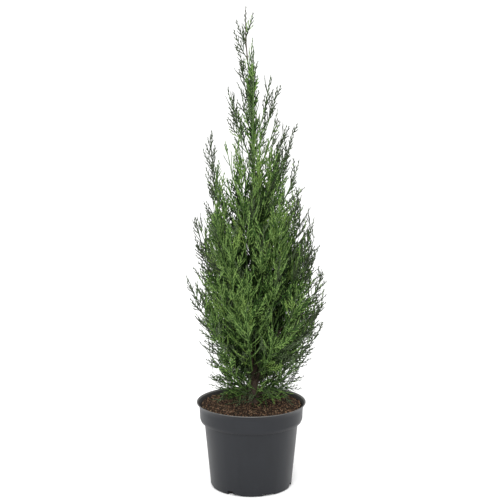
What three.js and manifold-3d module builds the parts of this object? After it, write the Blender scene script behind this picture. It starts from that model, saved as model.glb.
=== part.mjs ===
// A young leyland cypress in a round nursery pot: the pot, its potting soil, one trunk, the bare feet of the
// boughs, and plumes of scale-leaved foliage round the trunk.
// Millimetres, +Z up. The origin is the centre of the pot's flat underside, -Y is the front and +X its right.
import * as THREE from "three";
import { mergeVertices } from "three/addons/utils/BufferGeometryUtils.js";
import Module from "manifold-3d";

const wasm = await Module();
wasm.setup();

// Pot: a 19 cm, 3 litre nursery pot, moulded in one thin wall with a collar under its flared lip
const RIM_RADIUS = 95;
const POT_HEIGHT = 150;
const POT_WALL = 1.6;
const LIP_EDGE = 1.4;
const FLARE_HEIGHT = 8;
const FLARE_BEND_OUT = 0.35;
const FLARE_BEND_DOWN = 0.45;
const COLLAR_TOP_RADIUS = 90.3;
const COLLAR_FOOT_RADIUS = 89.3;
const COLLAR_FOOT_HEIGHT = 121;
const COLLAR_STEP_OUT = 0.8;
const COLLAR_STEP_UP = 0.45;
const BODY_TOP_HEIGHT = 113;
const BODY_TOP_RADIUS = 81.8;
const BODY_FOOT_RADIUS = 70.6;
const FOOT_CORNER = 3;
const EDGE_CUT = 0.3;
const ROUND_SIDES = 40;

// Drain slots: shallow pockets round the edge of the underside, each with a hole in its roof
const SLOT_COUNT = 7;
const SLOT_FIRST_DEG = 296;
const SLOT_WIDTH_DEG = 16;
const SLOT_INNER_RADIUS = 50;
const SLOT_HEIGHT = 3;
const DRAIN_HOLE_RADIUS = 4.5;
const DRAIN_HOLE_SIDES = 8;
const FLOOR_TOP = SLOT_HEIGHT + POT_WALL;

// Soil: peat that fills the pot to just under its lip and stands a little higher round the trunk
const SOIL_EDGE_HEIGHT = 140.5;
const SOIL_CROWN_HEIGHT = 143.5;
const SOIL_CROWN_RADIUS = 20;
const SOIL_SHOULDER_OUT = 0.6;
const SOIL_SHOULDER_UP = 0.7;

// Clearances: between pieces that touch, and round anything a spray must keep away from
const SEAT_GAP = 0.3;
const SPRAY_CLEARANCE = 1.2;
const SPACE_MARGIN = 1.6;
const RIM_MARGIN = 4;

// Trunk: one stem with a slight bow that leans to the left towards its tip
const TIP_HEIGHT = 829;
const WOOD_TOP_HEIGHT = 702;
const TRUNK_OFFSET = 5;
const TRUNK_SWAY = 6;
const TRUNK_LEAN = 20;
const TRUNK_BOW = 6;
const TRUNK_FOOT_RADIUS = 6.2;
const TRUNK_TOP_RADIUS = 1.3;
const TRUNK_TAPER_POWER = 0.8;
const TRUNK_STEPS = 16;
const TRUNK_STEP_POWER = 1.6;
const TRUNK_SIDES = 10;
const ROOT_FLARE = 3.4;
const ROOT_FLARE_HEIGHT = 14;
const ROOT_LOBES = 5;
const ROOT_LOBE_DEPTH = 0.16;

// Plumes: each leaves the trunk at a slant, turns upwards at its elbow and ends at its tip
const ELBOW_OUT = 0.7;
const ELBOW_UP = 0.4;
const BOUGH_TIP_RADIUS = 1.6;
const BOUGH_TAPER = 0.004;
const BOUGH_STEPS = 3;
const BOUGH_SIDES = 5;
const FOOT_EDGES_DEG = [-8, 0, 8];
const LINE_STEP = 0.002;
const LIMB_SPACING = 4;
const BOUGH_SAMPLES = 16;
const STEM_SAMPLES = 32;
const STEM_RADIUS = 1.25;
const STEM_TIP_RADIUS = 0.45;
const GOLDEN_TURN_DEG = 137.5;
const HALF_TURN_DEG = 180;

// Core: the dense inside of a plume, a grooved spindle round its stem between two shares of the stem's length
const CORE_FROM = 0.1;
const CORE_TO = 0.92;
const CORE_GROOVE = 0.55;
const CORE_SWELL_POWER = 0.8;
const CORE_STEPS = 7;
const CORE_SIDES = 6;

// Sprays: flat toothed blades that stand out of each core, shorter towards the plume's tip. They are spaced
// between two shares of the stem, differ a little in length, and have their roots sunk in the core.
const FIRST_SPRAY = 0.06;
const LAST_SPRAY = 0.985;
const SPRAY_LEAST = 17;
const SPRAY_GROWTH = 0.55;
const SPRAY_SHORTER = 0.85;
const SPRAY_LONGER = 1.1;
const SPRAY_SUNK = 0.4;
const SPRAY_STRAY_DEG = 30;
const SPRAY_OUT_DEG = 40;
const SPRAY_END_DEG = 16;
const SPRAY_ROLL_DEG = 110;
const SPRAY_TRIES = [1, 0.8, 0.6, 0.45];
const RIB_HALF_THICKNESS = 0.75;
const RIB_THINNING = 0.6;
const LONG_SPRAY = 60;
const LONG_SPRAY_TEETH = 4;
const SHORT_SPRAY_TEETH = 3;
const SPRAY_WIDTH = 0.3;
const SPRAY_NARROWING = 0.8;
const NOTCH_SHARE = 0.36;
const TOOTH_LEAD = 1.4;
const TOOTH_STAGGER = 0.25;

// Draws: where each kind of chance starts counting, so that no two share a number
const STRAY_DRAW = 50;
const ROLL_DRAW = 90;

// Crown outline: [height, distance from the trunk] pairs that no spray goes beyond
const CROWN_OUTLINE = [
  [150, 82],
  [188, 88],
  [254, 108],
  [290, 127],
  [382, 127],
  [431, 112],
  [490, 100],
  [535, 87],
  [630, 80],
  [706, 52],
  [730, 30],
  [800, 24],
  [829, 3],
];

// One row for each plume of a tier: its bearing in degrees (0 is right, 270 is the front), the height of its
// root on the trunk, how far its tip reaches from the trunk, and the height of its tip.
const TIERS = [
  {
    name: "upper", boughShare: 0, core: 6, sprays: 5, longest: 50,
    plumes: [
      [2, 580, 41, 698],
      [182, 565, 38, 681],
      [272, 606, 25, 745],
      [92, 596, 30, 736],
      [330, 540, 46, 662],
    ],
  },
  {
    name: "middle", boughShare: 0, core: 9, sprays: 6, longest: 64,
    plumes: [
      [356, 462, 66, 630],
      [174, 446, 48, 594],
      [238, 372, 52, 612],
      [278, 346, 48, 590],
      [60, 360, 62, 606],
      [118, 424, 54, 640],
    ],
  },
  {
    name: "main", boughShare: 0.2, core: 12, sprays: 6, longest: 78,
    plumes: [
      [184, 243, 76, 616],
      [2, 228, 76, 528],
      [172, 200, 100, 464],
      [350, 206, 104, 448],
      [218, 232, 86, 516],
      [252, 266, 72, 560],
      [302, 246, 80, 520],
      [90, 256, 78, 556],
      [30, 220, 94, 486],
      [146, 226, 88, 500],
    ],
  },
  {
    name: "low", boughShare: 0.16, core: 12, sprays: 6, longest: 76,
    plumes: [
      [10, 182, 120, 374],
      [188, 188, 112, 366],
      [354, 168, 120, 294],
      [216, 173, 106, 338],
      [262, 192, 98, 404],
      [310, 182, 110, 358],
      [144, 178, 114, 372],
      [100, 196, 106, 412],
      [54, 174, 116, 366],
    ],
  },
  {
    name: "skirt", boughShare: 0, core: 8, sprays: 5, longest: 54,
    plumes: [
      [178, 162, 88, 252],
      [4, 158, 82, 194],
      [196, 156, 70, 196],
      [276, 157, 66, 200],
      [325, 160, 88, 232],
      [238, 160, 84, 236],
      [92, 160, 86, 230],
    ],
  },
];

const LEADER = { name: "leader", core: 3, sprays: 10, longest: 60, turn: HALF_TURN_DEG, firstBearing: 60 };

const finish = (color, roughness) => new THREE.MeshStandardMaterial({ color, roughness, metalness: 0 });
const POT_PLASTIC = finish(0x43464a, 0.5);
const PEAT = finish(0x3f2c20, 0.95);
const BARK = finish(0x5b4232, 0.85);
const SCALE_LEAVES = finish(0x42692f, 0.6);

const radians = THREE.MathUtils.degToRad;
const lerp = THREE.MathUtils.lerp;
const UP = new THREE.Vector3(0, 0, 1);
const RIGHT = new THREE.Vector3(1, 0, 0);

// Repeatable chance: a number from 0 to 1 for each pair of counters
function chance(seed, count) {
  const wave = Math.sin(seed * 127.1 + count * 311.7) * 43758.5453;
  return wave - Math.floor(wave);
}

function solidOf(geometry) {
  const bare = geometry.clone();
  bare.deleteAttribute("normal");
  bare.deleteAttribute("uv");
  const merged = mergeVertices(bare, 1e-3);
  return new wasm.Manifold(
    new wasm.Mesh({
      numProp: 3,
      vertProperties: merged.attributes.position.array,
      triVerts: new Uint32Array(merged.index.array),
    }),
  );
}

function geometryOf(solid) {
  const { vertProperties, triVerts } = solid.getMesh();
  const geometry = new THREE.BufferGeometry();
  geometry.setAttribute("position", new THREE.BufferAttribute(vertProperties, 3));
  geometry.setIndex(new THREE.BufferAttribute(triVerts, 1));
  geometry.computeVertexNormals();
  return geometry;
}

// A closed mesh from corner points and triangles of their numbers
function closedGeometry(points, triangles) {
  const geometry = new THREE.BufferGeometry().setFromPoints(points);
  geometry.setIndex(triangles);
  geometry.computeVertexNormals();
  return geometry;
}

// The largest body of a union, so that a loose scrap goes and a sealed hollow is filled
function largestBody(solid) {
  return solid.decompose().reduce((best, body) => (body.volume() > best.volume() ? body : best));
}

function named(name, geometry, material) {
  const mesh = new THREE.Mesh(geometry, material);
  mesh.name = name;
  return mesh;
}

// Pot

// Turns a profile of [radius, height] pairs about the vertical axis
function turned(profile) {
  const points = profile.map(([radius, height]) => new THREE.Vector2(radius, height));
  return new THREE.LatheGeometry(points, ROUND_SIDES).rotateX(Math.PI / 2);
}

// The wall from the underside's edge to the foot of the lip's flare, drawn in by an inset
function wallProfile(inset) {
  const stepRadius = lerp(BODY_TOP_RADIUS, COLLAR_FOOT_RADIUS, COLLAR_STEP_OUT);
  const stepHeight = lerp(BODY_TOP_HEIGHT, COLLAR_FOOT_HEIGHT, COLLAR_STEP_UP);
  return [
    [BODY_FOOT_RADIUS - FOOT_CORNER - inset, 0],
    [BODY_FOOT_RADIUS - EDGE_CUT * FOOT_CORNER - inset, EDGE_CUT * FOOT_CORNER],
    [BODY_FOOT_RADIUS - inset, FOOT_CORNER],
    [BODY_TOP_RADIUS - inset, BODY_TOP_HEIGHT],
    [stepRadius - inset, stepHeight],
    [COLLAR_FOOT_RADIUS - inset, COLLAR_FOOT_HEIGHT],
    [COLLAR_TOP_RADIUS - inset, POT_HEIGHT - FLARE_HEIGHT],
  ];
}

// A block with the plan of a ring's sector, centred on +X
function sector(innerRadius, outerRadius, widthDeg, bottom, top) {
  const half = radians(widthDeg / 2);
  const shape = new THREE.Shape();
  shape.absarc(0, 0, outerRadius, -half, half, false);
  shape.absarc(0, 0, innerRadius, half, -half, true);
  const options = { depth: top - bottom, bevelEnabled: false, curveSegments: 4 };
  return new THREE.ExtrudeGeometry(shape, options).translate(0, 0, bottom);
}

function pot() {
  const flareRadius = lerp(COLLAR_TOP_RADIUS, RIM_RADIUS, FLARE_BEND_OUT);
  const flareHeight = POT_HEIGHT - FLARE_BEND_DOWN * FLARE_HEIGHT;
  const lip = [
    [flareRadius, flareHeight],
    [RIM_RADIUS, POT_HEIGHT - LIP_EDGE],
    [RIM_RADIUS - EDGE_CUT * LIP_EDGE, POT_HEIGHT],
    [RIM_RADIUS - LIP_EDGE, POT_HEIGHT],
    [flareRadius - POT_WALL, flareHeight],
  ];
  const inside = wallProfile(POT_WALL).slice(2).reverse();
  const floor = [[inside.at(-1)[0], FLOOR_TOP], [0, FLOOR_TOP]];
  let shell = solidOf(turned([[0, 0], ...wallProfile(0), ...lip, ...inside.slice(0, -1), ...floor]));
  for (let i = 0; i < SLOT_COUNT; i++) {
    const angle = radians(SLOT_FIRST_DEG + (i * 360) / SLOT_COUNT);
    const slot = sector(SLOT_INNER_RADIUS, RIM_RADIUS, SLOT_WIDTH_DEG, -1, SLOT_HEIGHT);
    const depth = 4 * FLOOR_TOP;
    const hole = new THREE.CylinderGeometry(DRAIN_HOLE_RADIUS, DRAIN_HOLE_RADIUS, depth, DRAIN_HOLE_SIDES)
      .rotateX(Math.PI / 2)
      .translate((SLOT_INNER_RADIUS + BODY_FOOT_RADIUS) / 2, 0, 0);
    for (const cutter of [slot, hole]) shell = shell.subtract(solidOf(cutter.rotateZ(angle)));
  }
  return named("pot", geometryOf(largestBody(shell)), POT_PLASTIC);
}

function soil() {
  const inset = POT_WALL + SEAT_GAP;
  const bottom = FLOOR_TOP + SEAT_GAP;
  const [, , foot, ...upper] = wallProfile(inset);
  const below = upper.slice(0, -1);
  const share = (SOIL_EDGE_HEIGHT - COLLAR_FOOT_HEIGHT) / (POT_HEIGHT - FLARE_HEIGHT - COLLAR_FOOT_HEIGHT);
  const edge = lerp(COLLAR_FOOT_RADIUS, COLLAR_TOP_RADIUS, share) - inset;
  const profile = [
    [0, bottom],
    [foot[0], bottom],
    ...below,
    [edge, SOIL_EDGE_HEIGHT],
    [SOIL_SHOULDER_OUT * edge, lerp(SOIL_EDGE_HEIGHT, SOIL_CROWN_HEIGHT, SOIL_SHOULDER_UP)],
    [SOIL_CROWN_RADIUS, SOIL_CROWN_HEIGHT],
    [0, SOIL_CROWN_HEIGHT],
  ];
  return named("soil", turned(profile), PEAT);
}

// Trunk and limbs

const TRUNK_FOOT = SOIL_CROWN_HEIGHT + SEAT_GAP;

function trunkAt(height) {
  const rise = (height - TRUNK_FOOT) / (TIP_HEIGHT - TRUNK_FOOT);
  const x = TRUNK_OFFSET + TRUNK_SWAY * rise - TRUNK_LEAN * rise ** 3;
  return new THREE.Vector3(x, TRUNK_BOW * rise * (1 - rise), height);
}

// How much of the root flare is left at a height
const flareShare = (height) => Math.exp((TRUNK_FOOT - height) / ROOT_FLARE_HEIGHT);

function trunkRadius(height) {
  const rise = (height - TRUNK_FOOT) / (WOOD_TOP_HEIGHT - TRUNK_FOOT);
  const wood = lerp(TRUNK_FOOT_RADIUS, TRUNK_TOP_RADIUS, rise ** TRUNK_TAPER_POWER);
  return wood + ROOT_FLARE * flareShare(height);
}

// The trunk's radius at a height and an angle about it, swelling and shrinking over its root lobes
function lobedRadius(height, angle) {
  return trunkRadius(height) * (1 + ROOT_LOBE_DEPTH * flareShare(height) * Math.cos(ROOT_LOBES * angle));
}

// The distance from the trunk's axis to its bark at an angle, on the flat side between two of its corners
function barkRadius(height, angle) {
  const side = (2 * Math.PI) / TRUNK_SIDES;
  const corner = Math.floor(angle / side) * side;
  const turn = angle - corner;
  const [a, b] = [lobedRadius(height, corner), lobedRadius(height, corner + side)];
  return (a * b * Math.sin(side)) / (a * Math.sin(turn) + b * Math.sin(side - turn));
}

// A closed limb of rings set square to a run of stations; ringRadius gives the radius at an angle and side
function limbGeometry(stations, sides) {
  const points = [];
  const triangles = [];
  stations.forEach(({ centre, axis, right, ringRadius }, ring) => {
    const rear = new THREE.Vector3().crossVectors(axis, right).normalize();
    for (let side = 0; side < sides; side++) {
      const angle = (2 * Math.PI * side) / sides;
      const radius = ringRadius(angle, side);
      points.push(
        centre.clone()
          .addScaledVector(right, radius * Math.cos(angle))
          .addScaledVector(rear, radius * Math.sin(angle)),
      );
      if (ring === 0) continue;
      const next = (side + 1) % sides;
      const [a, b] = [(ring - 1) * sides + side, (ring - 1) * sides + next];
      triangles.push(a, b, b + sides, a, b + sides, a + sides);
    }
  });
  const last = (stations.length - 1) * sides;
  for (let side = 1; side < sides - 1; side++) {
    triangles.push(0, side + 1, side, last, last + side, last + side + 1);
  }
  return closedGeometry(points, triangles);
}

function trunk() {
  const stations = [];
  for (let i = 0; i <= TRUNK_STEPS; i++) {
    const height = lerp(TRUNK_FOOT, WOOD_TOP_HEIGHT, (i / TRUNK_STEPS) ** TRUNK_STEP_POWER);
    const ringRadius = (angle) => lobedRadius(height, angle);
    stations.push({ centre: trunkAt(height), axis: UP, right: RIGHT, ringRadius });
  }
  return named("trunk", limbGeometry(stations, TRUNK_SIDES), BARK);
}

// Plumes

// A plume's line from the trunk's axis to its tip
function plumeLine([bearing, root, reach, tip]) {
  const foot = trunkAt(root);
  const out = new THREE.Vector3(Math.cos(radians(bearing)), Math.sin(radians(bearing)), 0);
  const rise = tip - root;
  const elbow = foot.clone().addScaledVector(out, ELBOW_OUT * reach).addScaledVector(UP, ELBOW_UP * rise);
  const end = foot.clone().addScaledVector(out, reach).addScaledVector(UP, rise);
  const across = new THREE.Vector3().crossVectors(UP, out);
  return { curve: new THREE.QuadraticBezierCurve3(foot, elbow, end), out, across, root };
}

class LeaderCurve extends THREE.Curve {
  getPoint(share, target = new THREE.Vector3()) {
    return target.copy(trunkAt(lerp(WOOD_TOP_HEIGHT + SEAT_GAP, TIP_HEIGHT, share)));
  }
}

// The share of a line at which it has come a given distance out of the trunk
function shareAtReach({ curve, root }, distance) {
  const axis = trunkAt(root);
  const out = (share) => curve.getPoint(share).sub(axis).setZ(0).length();
  let share = 0;
  while (out(share) < distance) share += LINE_STEP;
  return share;
}

// A station on a plume's line. A foot on the trunk is cut upright, to lie along the bark.
function station({ curve, out, across }, share, upright, ringRadius) {
  const axis = upright ? out : curve.getTangent(share);
  return { centre: curve.getPoint(share), axis, right: across, ringRadius };
}

// Every plume, with the share of its line where its bough starts and where its foliage stem starts
const plumes = TIERS.flatMap((tier, tierNumber) =>
  tier.plumes.map((row, number) => {
    const line = plumeLine(row);
    const [bearing, root] = row;
    const bark = FOOT_EDGES_DEG.map((edge) => barkRadius(root - STEM_RADIUS, radians(bearing + edge)));
    const foot = shareAtReach(line, Math.max(...bark) + SEAT_GAP);
    const seat = SEAT_GAP / line.curve.getLength();
    return {
      ...line,
      tier,
      name: `${tier.name}_${number + 1}`,
      seed: 20 * (tierNumber + 1) + number,
      foot,
      stemStart: tier.boughShare ? tier.boughShare + seat : foot,
      turn: GOLDEN_TURN_DEG,
      firstBearing: 360 * chance(tierNumber, number),
    };
  }),
);
plumes.push({
  curve: new LeaderCurve(),
  out: UP,
  across: RIGHT,
  tier: LEADER,
  name: LEADER.name,
  seed: 7,
  foot: 0,
  stemStart: 0,
  turn: LEADER.turn,
  firstBearing: LEADER.firstBearing,
});

function boughFootRadius({ curve }) {
  return BOUGH_TIP_RADIUS + BOUGH_TAPER * curve.getLength();
}

function bough(plume) {
  const stations = [];
  for (let i = 0; i <= BOUGH_STEPS; i++) {
    const radius = lerp(boughFootRadius(plume), BOUGH_TIP_RADIUS, i / BOUGH_STEPS);
    const share = lerp(plume.foot, plume.tier.boughShare, i / BOUGH_STEPS);
    stations.push(station(plume, share, i === 0, () => radius));
  }
  return named(`${plume.name}_bough`, limbGeometry(stations, BOUGH_SIDES), BARK);
}

// Points along every limb that a spray keeps clear of, with the limb's radius
const limbPoints = [];
for (let height = TRUNK_FOOT; height <= WOOD_TOP_HEIGHT; height += LIMB_SPACING) {
  limbPoints.push({ point: trunkAt(height), radius: lobedRadius(height, 0) });
}
for (const plume of plumes.filter(({ tier }) => tier.boughShare)) {
  for (let i = 0; i <= BOUGH_SAMPLES; i++) {
    const point = plume.curve.getPoint(lerp(plume.foot, plume.tier.boughShare, i / BOUGH_SAMPLES));
    limbPoints.push({ point, radius: boughFootRadius(plume) });
  }
}
for (const plume of plumes) {
  plume.axisPoints = [];
  for (let i = 0; i <= STEM_SAMPLES; i++) {
    plume.axisPoints.push(plume.curve.getPoint(lerp(plume.stemStart, 1, i / STEM_SAMPLES)));
  }
}

// The distance from the trunk that the crown's outline allows at a height
function crownRadius(height) {
  const above = CROWN_OUTLINE.findIndex(([top]) => top >= height);
  if (above < 1) return CROWN_OUTLINE.at(above)[1];
  const [[low, lowRadius], [high, highRadius]] = CROWN_OUTLINE.slice(above - 1, above + 1);
  return lerp(lowRadius, highRadius, (height - low) / (high - low));
}

const nearest = (point, others) => Math.min(...others.map((other) => point.distanceTo(other)));

// A point is in a plume's space if its stem is the nearest stem, and it is inside the crown's outline and
// clear of limbs, soil and pot
function inSpace(point, plume) {
  const axis = trunkAt(point.z);
  if (Math.hypot(point.x - axis.x, point.y - axis.y) > crownRadius(point.z)) return false;
  const overRim = Math.hypot(point.x, point.y) > COLLAR_TOP_RADIUS - RIM_MARGIN;
  const ground = overRim ? POT_HEIGHT : SOIL_CROWN_HEIGHT;
  if (point.z < ground + SPRAY_CLEARANCE || point.z > TIP_HEIGHT) return false;
  const touches = (limb) => point.distanceTo(limb.point) < limb.radius + SPRAY_CLEARANCE;
  if (limbPoints.some(touches)) return false;
  const own = nearest(point, plume.axisPoints) + SPACE_MARGIN;
  return plumes.every((other) => other === plume || nearest(point, other.axisPoints) > own);
}

// The radius that a plume's core has room for round a point of its line
function roomAt(point, plume) {
  const toLimb = Math.min(...limbPoints.map((limb) => point.distanceTo(limb.point) - limb.radius));
  const others = plumes.filter((other) => other !== plume);
  const toStem = Math.min(...others.map((other) => nearest(point, other.axisPoints)));
  const toPot = point.z - POT_HEIGHT;
  return Math.min(toLimb - SPRAY_CLEARANCE, toStem / 2 - SPACE_MARGIN, toPot - SPRAY_CLEARANCE);
}

// Foliage

// The core's radius at a share of the stem, swelling from its two ends, or nothing outside them
function coreRadius(plume, share) {
  const along = THREE.MathUtils.clamp((share - CORE_FROM) / (CORE_TO - CORE_FROM), 0, 1);
  const point = plume.curve.getPoint(lerp(plume.stemStart, 1, share));
  const swell = Math.sin(Math.PI * along ** CORE_SWELL_POWER);
  return Math.max(0, Math.min(plume.tier.core * swell, roomAt(point, plume)));
}

// A stem with its core: ridges and grooves change places from ring to ring, so the core is tufted
function coredStem(plume) {
  const footRadius = plume.tier.boughShare ? BOUGH_TIP_RADIUS : STEM_RADIUS;
  const upright = !plume.tier.boughShare && plume.tier !== LEADER;
  const stations = [];
  for (let i = 0; i <= CORE_STEPS; i++) {
    const share = i / CORE_STEPS;
    const stem = lerp(footRadius, STEM_TIP_RADIUS, share);
    const core = coreRadius(plume, share);
    const ringRadius = (angle, side) => Math.max(stem, core * ((side + i) % 2 ? 1 : CORE_GROOVE));
    stations.push(station(plume, lerp(plume.stemStart, 1, share), i === 0 && upright, ringRadius));
  }
  return limbGeometry(stations, CORE_SIDES);
}

// The curved line of one spray and the direction its teeth spread in
function sprayLine(plume, number, size) {
  const { tier, seed } = plume;
  const share = lerp(FIRST_SPRAY, LAST_SPRAY, (number + 0.5) / tier.sprays);
  const at = lerp(plume.stemStart, 1, share);
  const tangent = plume.curve.getTangent(at);
  const toTip = (1 - at) * plume.curve.getLength();
  const longest = Math.min(tier.longest, SPRAY_LEAST + SPRAY_GROWTH * toTip);
  const length = size * longest * lerp(SPRAY_SHORTER, SPRAY_LONGER, chance(seed, number));
  const stray = SPRAY_STRAY_DEG * chance(seed, number + STRAY_DRAW);
  const turn = radians(plume.firstBearing + plume.turn * number + stray);
  const right = new THREE.Vector3().crossVectors(tangent, new THREE.Vector3(1, 0.3, 0)).normalize();
  const away = right.applyAxisAngle(tangent, turn);
  const heading = (degrees) => {
    const angle = radians(degrees);
    return tangent.clone().multiplyScalar(Math.cos(angle)).addScaledVector(away, Math.sin(angle));
  };
  const root = plume.curve.getPoint(at).addScaledVector(away, SPRAY_SUNK * coreRadius(plume, share));
  const middle = root.clone().addScaledVector(heading(SPRAY_OUT_DEG), 0.5 * length);
  const end = middle.clone().addScaledVector(heading(SPRAY_END_DEG), 0.5 * length);
  const roll = radians(SPRAY_ROLL_DEG * (chance(seed, number + ROLL_DRAW) - 0.5));
  const flat = new THREE.Vector3().crossVectors(heading(SPRAY_OUT_DEG), tangent).normalize();
  return { curve: new THREE.QuadraticBezierCurve3(root, middle, end), flat, roll, length };
}

// A spray's corner points: a rib with an upper and a lower point at each step and, on both its sides, a notch
// at each step with a pointed tooth after it that leans forward. The edges are thin and the rib is thick.
function sprayBlade({ curve, flat, roll, length }) {
  const steps = length > LONG_SPRAY ? LONG_SPRAY_TEETH : SHORT_SPRAY_TEETH;
  const points = [];
  const triangles = [];
  const add = (point) => points.push(point) - 1;
  const ribs = [];
  for (let i = 0; i < steps; i++) {
    const share = i / steps;
    const axis = curve.getTangent(share);
    const side = flat.clone().applyAxisAngle(axis, roll).projectOnPlane(axis).normalize();
    const normal = new THREE.Vector3().crossVectors(side, axis);
    const centre = curve.getPoint(share);
    const offset = (direction, distance) => centre.clone().addScaledVector(direction, distance);
    const half = RIB_HALF_THICKNESS * (1 - RIB_THINNING * share);
    const width = length * SPRAY_WIDTH * (1 - SPRAY_NARROWING * share);
    const notch = i === 0 ? RIB_HALF_THICKNESS : NOTCH_SHARE * width;
    const lead = (handed) => ((TOOTH_LEAD + handed * TOOTH_STAGGER) * length) / steps;
    const tooth = (handed) => offset(side, handed * width).addScaledVector(axis, lead(handed));
    ribs.push({
      upper: add(offset(normal, half)),
      lower: add(offset(normal, -half)),
      notches: [add(offset(side, -notch)), add(offset(side, notch))],
      teeth: [add(tooth(-1)), add(tooth(1))],
    });
  }
  const tip = add(curve.getPoint(1));
  ribs.push({ upper: tip, lower: tip, notches: [tip, tip] });

  // A fan on the right of the upper side is listed as it stands, and the other three are its mirror images
  const fan = (mirrored, centre, edge) => {
    for (let i = 0; i + 1 < edge.length; i++) {
      if (edge[i] === edge[i + 1]) continue;
      triangles.push(centre, ...(mirrored ? [edge[i + 1], edge[i]] : [edge[i], edge[i + 1]]));
    }
  };
  for (let i = 0; i < steps; i++) {
    for (const hand of [0, 1]) {
      const edge = [ribs[i].notches[hand], ribs[i].teeth[hand], ribs[i + 1].notches[hand]];
      fan(hand === 0, ribs[i].upper, [...edge, ribs[i + 1].upper]);
      fan(hand === 1, ribs[i].lower, [...edge, ribs[i + 1].lower]);
    }
  }
  const { upper, lower, notches } = ribs[0];
  fan(false, notches[0], [lower, notches[1], upper]);
  return { points, rootPoints: 4, geometry: closedGeometry(points, triangles) };
}

// The largest version of a spray that keeps to its plume's space, or nothing where none does
function fittingSpray(plume, number) {
  for (const size of SPRAY_TRIES) {
    const blade = sprayBlade(sprayLine(plume, number, size));
    if (blade.points.slice(blade.rootPoints).every((point) => inSpace(point, plume))) return blade.geometry;
  }
  return null;
}

function foliage(plume) {
  let solid = solidOf(coredStem(plume));
  for (let number = 0; number < plume.tier.sprays; number++) {
    const spray = fittingSpray(plume, number);
    if (spray) solid = solid.add(solidOf(spray));
  }
  return named(`${plume.name}_foliage`, geometryOf(largestBody(solid)), SCALE_LEAVES);
}

const plant = new THREE.Group();
plant.name = "leyland_cypress";
plant.add(pot(), soil(), trunk());
for (const plume of plumes) {
  if (plume.tier.boughShare) plant.add(bough(plume));
  plant.add(foliage(plume));
}

export default plant;
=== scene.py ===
# A young leyland cypress in a nursery pot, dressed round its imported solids. Metres, +Z up, the front at -Y.
import math
from typing import NamedTuple

import bmesh
import bpy
import numpy as np
from mathutils import Matrix, Vector, noise


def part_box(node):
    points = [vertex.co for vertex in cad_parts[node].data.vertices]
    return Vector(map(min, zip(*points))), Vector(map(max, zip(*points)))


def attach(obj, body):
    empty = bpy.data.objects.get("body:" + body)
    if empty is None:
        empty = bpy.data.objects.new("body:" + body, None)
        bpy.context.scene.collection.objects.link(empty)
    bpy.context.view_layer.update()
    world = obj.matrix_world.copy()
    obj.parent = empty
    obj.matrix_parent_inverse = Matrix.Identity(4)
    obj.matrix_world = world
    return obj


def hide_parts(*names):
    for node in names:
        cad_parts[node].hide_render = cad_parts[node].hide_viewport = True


# Frame and camera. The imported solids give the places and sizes. The camera stands two metres in front of the
# plant, as high as its top, and looks down a little through a long lens.
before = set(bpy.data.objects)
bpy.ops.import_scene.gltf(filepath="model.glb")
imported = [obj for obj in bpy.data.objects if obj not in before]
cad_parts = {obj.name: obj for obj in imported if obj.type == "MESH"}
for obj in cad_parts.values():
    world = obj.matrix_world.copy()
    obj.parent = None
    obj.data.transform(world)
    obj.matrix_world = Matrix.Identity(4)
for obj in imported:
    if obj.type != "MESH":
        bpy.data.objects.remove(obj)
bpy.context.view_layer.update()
scene = bpy.context.scene
scene.view_settings.view_transform = "Standard"

MM = 0.001
CAMERA_SIDE = -2.1 * MM
CAMERA_DISTANCE = 2200 * MM
CAMERA_HEIGHT = 795.2 * MM
CAMERA_TILT = math.radians(9.76)

camera = bpy.data.objects.new("camera", bpy.data.cameras.new("camera"))
camera.data.sensor_width = 36
camera.data.lens = 94.1
camera.location = (CAMERA_SIDE, -CAMERA_DISTANCE, CAMERA_HEIGHT)
camera.rotation_euler = (math.pi / 2 - CAMERA_TILT, 0, 0)
scene.collection.objects.link(camera)
scene.camera = camera

# Pot. A thin-walled nursery pot of anthracite polypropylene, injection moulded in one piece: a flared lip
# over an upright collar, a stepped shoulder under the collar, and drain slots in the edge of its underside.
POT_WALL = 1.6 * MM
RIM_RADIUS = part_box("pot")[1].x
POT_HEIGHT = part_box("pot")[1].z
FLOOR_TOP = 4.6 * MM
LIP_EDGE = 1.2 * MM
LIP_INSIDE_BAND = 2 * MM
POT_STEPS = 180

# Outside of the wall from the underside to the lip, in millimetres: radius, height, rounding of the corner
POT_OUTSIDE = [
    (70.6, 0, 3),
    (81.6, 114.8, 0.3),
    (87.4, 116.2, 0.4),
    (89.3, 121, 1.5),
    (90.2, 141, 2.5),
    (92.4, 146.2, 2),
]
SLOT_COUNT = 7
SLOT_FIRST = math.radians(244.6)
SLOT_WIDTH = math.radians(20)
SLOT_INNER = 50 * MM
SLOT_HEIGHT = 3.4 * MM
WALL_HOLE_START = 0.48
WALL_HOLE_WIDTH = math.radians(9)
WALL_HOLE_INNER = 64 * MM
WALL_HOLE_HEIGHT = 7.6 * MM
DRAIN_RADIUS = 4.5 * MM
CUTTER_UNDER = 2 * MM


def object_of(name, bm):
    """A new object at the origin that holds a bmesh, which is used up"""
    mesh = bpy.data.meshes.new(name)
    bm.to_mesh(mesh)
    bm.free()
    piece = bpy.data.objects.new(name, mesh)
    scene.collection.objects.link(piece)
    return piece


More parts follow.
